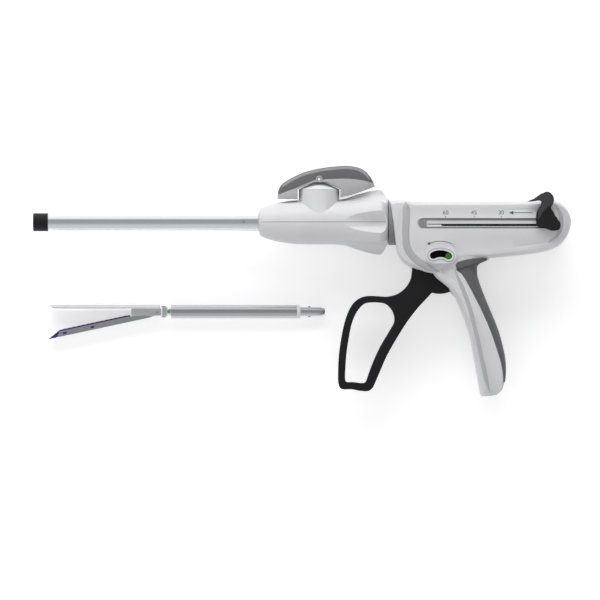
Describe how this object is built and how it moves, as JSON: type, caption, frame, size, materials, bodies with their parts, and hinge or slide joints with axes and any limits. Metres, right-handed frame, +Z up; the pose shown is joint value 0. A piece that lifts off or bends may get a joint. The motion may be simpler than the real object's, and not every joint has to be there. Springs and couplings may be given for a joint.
{
  "type": "endoscopic stapler",
  "caption": "Ratchet-handled endoscopic stapler with a rotating, articulating shaft, and a stapling reload with its jaws open lying beside it.",
  "frame": {"origin": "centre of the bottom of the overall box, on the table that the stapler and its reload lie on", "axes": "+X from the shaft's tip to the rear of the handle, +Y from the grip's foot to the lever, +Z up from the table"},
  "size_m": [0.3556, 0.1523, 0.041],
  "materials": {
    "white_plastic": "satin moulded plastic",
    "knob_plastic": "satin moulded plastic",
    "grey_rubber": "soft matt overmould",
    "grey_plastic": "matt moulded plastic",
    "light_grey_plastic": "satin moulded plastic",
    "black_plastic": "fine matt plastic",
    "green_plastic": "satin moulded plastic",
    "purple_plastic": "satin moulded plastic",
    "white_seal": "matt plastic",
    "shaft_alloy": "fine satin anodised",
    "steel": "fine brushed",
    "inner_steel": "machined"
  },
  "bodies": {
    "handle": {"housing_left": "white_plastic", "housing_right": "white_plastic", "grip_pad": "grey_rubber", "bearing_collar": "grey_plastic", "trigger_pin": "inner_steel", "holding_pawl_pin": "inner_steel"},
    "trigger": {"trigger": "black_plastic", "drive_pawl_pin": "inner_steel"},
    "drive_pawl": {"drive_pawl": "inner_steel"},
    "holding_pawl": {"holding_pawl": "inner_steel"},
    "safety": {"safety_button": "green_plastic"},
    "firing_train": {"firing_rack": "inner_steel", "return_crosspiece": "black_plastic", "return_knob_left": "black_plastic", "return_knob_right": "black_plastic", "control_rod": "inner_steel"},
    "rotator": {"knob_upper": "knob_plastic", "knob_lower": "knob_plastic", "shaft_tube": "shaft_alloy", "neck_sleeve": "shaft_alloy", "tip_collar": "black_plastic", "shaft_retainer": "inner_steel", "turret_cap": "white_plastic"},
    "lever": {"lever_body": "light_grey_plastic", "lever_pad": "grey_rubber", "lever_pin": "steel", "lever_post": "inner_steel"},
    "articulation_rod": {"articulation_rod": "inner_steel"},
    "reload": {"reload_tube": "steel", "reload_nose": "steel", "reload_ring": "white_seal", "wrist_collar": "steel", "wrist_pin": "steel"},
    "jaw_base": {"anvil": "steel", "jaw_bracket": "steel", "jaw_pin": "steel"},
    "lower_jaw": {"cartridge_channel": "steel", "cartridge": "purple_plastic"}
  },
  "joints": [
    {"name": "trigger_squeeze", "type": "hinge", "parent": "handle", "child": "trigger", "pos_m": [0.09114, 0.00816, 0.0205], "axis": [0, 0, 1], "range_deg": [0, 40], "stiffness_Nm_per_rad": 0.3, "springref_deg": -11.46},
    {"name": "drive_pawl_tilt", "type": "hinge", "parent": "trigger", "child": "drive_pawl", "pos_m": [0.09962, 0.01827, 0.0205], "axis": [0, 0, 1], "range_deg": [-1, 12]},
    {"name": "holding_pawl_tilt", "type": "hinge", "parent": "handle", "child": "holding_pawl", "pos_m": [0.11914, 0.02246, 0.0205], "axis": [0, 0, 1], "range_deg": [-1, 12]},
    {"name": "safety_slide", "type": "hinge", "parent": "handle", "child": "safety", "pos_m": [0.09114, 0.00816, 0.0205], "axis": [0, 0, 1], "range_deg": [0, 61]},
    {"name": "firing_slide", "type": "slide", "parent": "handle", "child": "firing_train", "axis": [-1, 0, 0], "range_m": [0, 0.075]},
    {"name": "shaft_rotation", "type": "hinge", "parent": "handle", "child": "rotator", "pos_m": [0.0168, 0.03911, 0.0205], "axis": [1, 0, 0], "continuous": true},
    {"name": "lever_swing", "type": "hinge", "parent": "rotator", "child": "lever", "pos_m": [0.01142, 0.03911, 0.0205], "axis": [0, 1, 0], "range_deg": [-45, 45]},
    {"name": "articulation_slide", "type": "slide", "parent": "rotator", "child": "articulation_rod", "axis": [1, 0, 0], "range_m": [-0.00354, 0.00354]},
    {"name": "reload_lift", "type": "slide", "parent": "handle", "child": "reload", "axis": [0, 0, 1], "range_m": [0, 0.1]},
    {"name": "wrist_swing", "type": "hinge", "parent": "reload", "child": "jaw_base", "pos_m": [-0.09174, -0.02009, 0.0045], "axis": [0, 1, 0], "range_deg": [-45, 45]},
    {"name": "jaw_close", "type": "hinge", "parent": "jaw_base", "child": "lower_jaw", "pos_m": [-0.09624, -0.02062, 0.0045], "axis": [0, 0, -1], "range_deg": [0, 12.1]}
  ],
  "couplings": [
    {"joint": "articulation_slide", "follows": "lever_swing", "m_per_rad": 0.004502}
  ]
}
